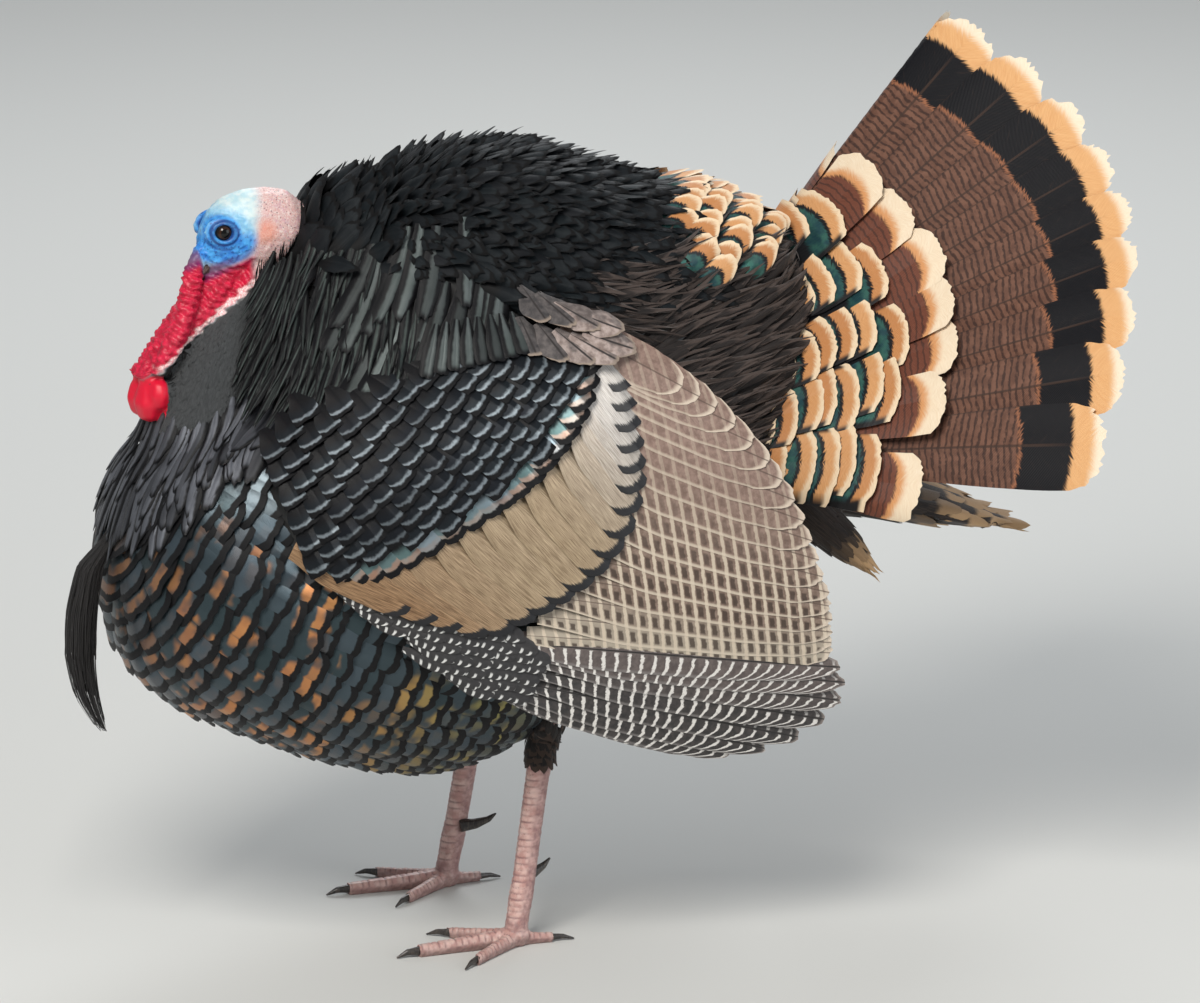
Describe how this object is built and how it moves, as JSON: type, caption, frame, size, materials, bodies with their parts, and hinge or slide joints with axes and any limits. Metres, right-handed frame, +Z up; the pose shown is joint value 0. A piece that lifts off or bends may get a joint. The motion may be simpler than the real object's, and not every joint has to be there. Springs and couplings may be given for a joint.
{
  "type": "wild turkey, male in strutting display",
  "caption": "Standing male wild turkey in full strut, tail fan raised, wings drooped, head drawn back, as a life-size still model.",
  "frame": {"origin": "on the floor, under the middle of the whole bird's box", "axes": "+Z up; the bird faces -X and its tail is at +X; its left side is -Y"},
  "size_m": [0.83, 0.6074, 0.7118],
  "materials": {
    "body_plumage": "blackish contour feathers with a green, copper and bronze sheen",
    "bronze_plumage": "glossy bronze wing coverts with black tips",
    "barred_plumage": "flight feathers barred dark brown and buff white",
    "tail_plumage": "rufous brown tail feathers, finely barred, with a black band and a buff tip",
    "tail_covert_plumage": "tail coverts with buff tips",
    "head_skin": "bare skin, white crown and blue face",
    "red_skin": "wet-looking crimson wrinkled skin",
    "horn": "smooth grey brown horn",
    "eye": "wet dark brown eye",
    "leg_scale": "pinkish grey scutes",
    "bristle": "coarse black bristles"
  },
  "bodies": {
    "root": {"breast": "body_plumage", "trunk": "body_plumage", "mantle": "body_plumage", "rump": "body_plumage", "head": "head_skin", "eye_left": "eye", "eye_right": "eye", "bill_upper": "horn", "bill_lower": "horn", "snood": "red_skin", "neck": "body_plumage", "wattle": "red_skin", "caruncles": "red_skin", "beard": "bristle", "wing_shoulder_left": "body_plumage", "wing_shoulder_right": "body_plumage", "wing_greater_coverts_left": "bronze_plumage", "wing_greater_coverts_right": "bronze_plumage", "wing_secondaries_left": "barred_plumage", "wing_secondaries_right": "barred_plumage", "wing_primaries_left": "barred_plumage", "wing_primaries_right": "barred_plumage", "thigh_left": "body_plumage", "thigh_right": "body_plumage", "shank_left": "leg_scale", "shank_right": "leg_scale", "spur_left": "horn", "spur_right": "horn", "foot_left": "leg_scale", "foot_right": "leg_scale", "claw_middle_left": "horn", "claw_middle_right": "horn", "claw_inner_left": "horn", "claw_inner_right": "horn", "claw_outer_left": "horn", "claw_outer_right": "horn", "claw_hind_left": "horn", "claw_hind_right": "horn", "tail_feather_1": "tail_plumage", "tail_feather_2": "tail_plumage", "tail_feather_3": "tail_plumage", "tail_feather_4": "tail_plumage", "tail_feather_5": "tail_plumage", "tail_feather_6": "tail_plumage", "tail_feather_7": "tail_plumage", "tail_feather_8": "tail_plumage", "tail_feather_9": "tail_plumage", "tail_feather_10": "tail_plumage", "tail_feather_11": "tail_plumage", "tail_feather_12": "tail_plumage", "tail_feather_13": "tail_plumage", "tail_feather_14": "tail_plumage", "tail_feather_15": "tail_plumage", "tail_feather_16": "tail_plumage", "tail_feather_17": "tail_plumage", "tail_feather_18": "tail_plumage", "tail_coverts_left": "tail_covert_plumage", "tail_coverts_right": "tail_covert_plumage", "undertail_coverts": "tail_covert_plumage"}
  },
  "joints": []
}
